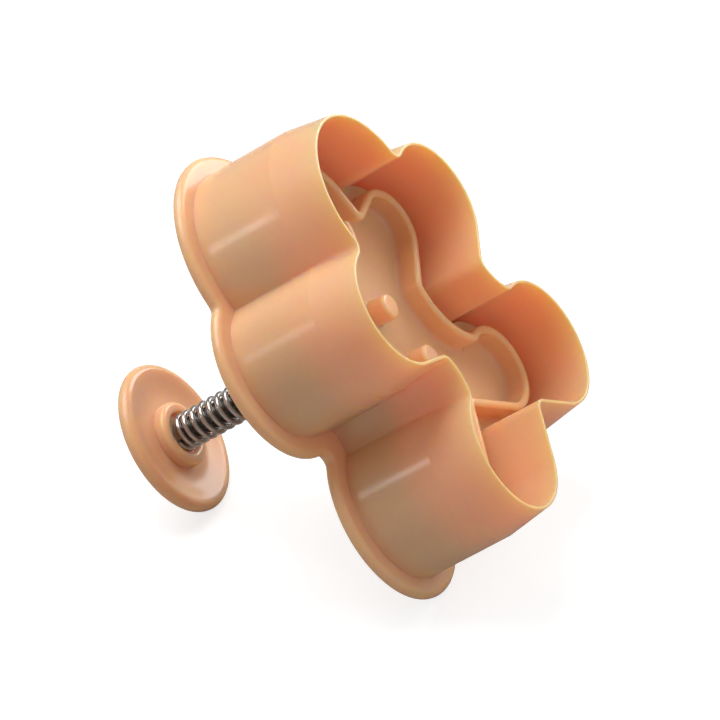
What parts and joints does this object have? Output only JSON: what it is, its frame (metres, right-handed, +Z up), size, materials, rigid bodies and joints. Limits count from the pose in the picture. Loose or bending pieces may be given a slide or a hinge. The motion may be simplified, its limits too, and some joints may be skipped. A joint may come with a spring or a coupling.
{
  "type": "plunger cutter",
  "caption": "Spring plunger cutter shaped as a gingerbread man: a thin-walled cutter shell, a sprung embossing stamp on a rod and a round thumb knob.",
  "frame": {"origin": "middle of the figure in the plane of the cutting edge, on the plunger's axis", "axes": "+Z up the plunger from the cutting edge to the knob, +Y towards the figure's head, +X across its arms"},
  "size_m": [0.0596, 0.0738, 0.058],
  "materials": {
    "shell_plastic": "semi-gloss, slightly translucent peach",
    "stamp_plastic": "semi-gloss peach",
    "knob_plastic": "semi-gloss peach",
    "rod_steel": "drawn steel",
    "spring_steel": "bright nickel-plated wire"
  },
  "bodies": {
    "shell": {"cutter_shell": "shell_plastic", "return_spring": "spring_steel"},
    "plunger": {"stamp_plate": "stamp_plastic", "plunger_rod": "rod_steel", "knob": "knob_plastic"}
  },
  "joints": [
    {"name": "plunger_press", "type": "slide", "parent": "shell", "child": "plunger", "axis": [0, 0, -1], "range_m": [0, 0.011], "stiffness_N_per_m": 600, "springref_m": -0.008, "deforming": ["return_spring"]}
  ]
}
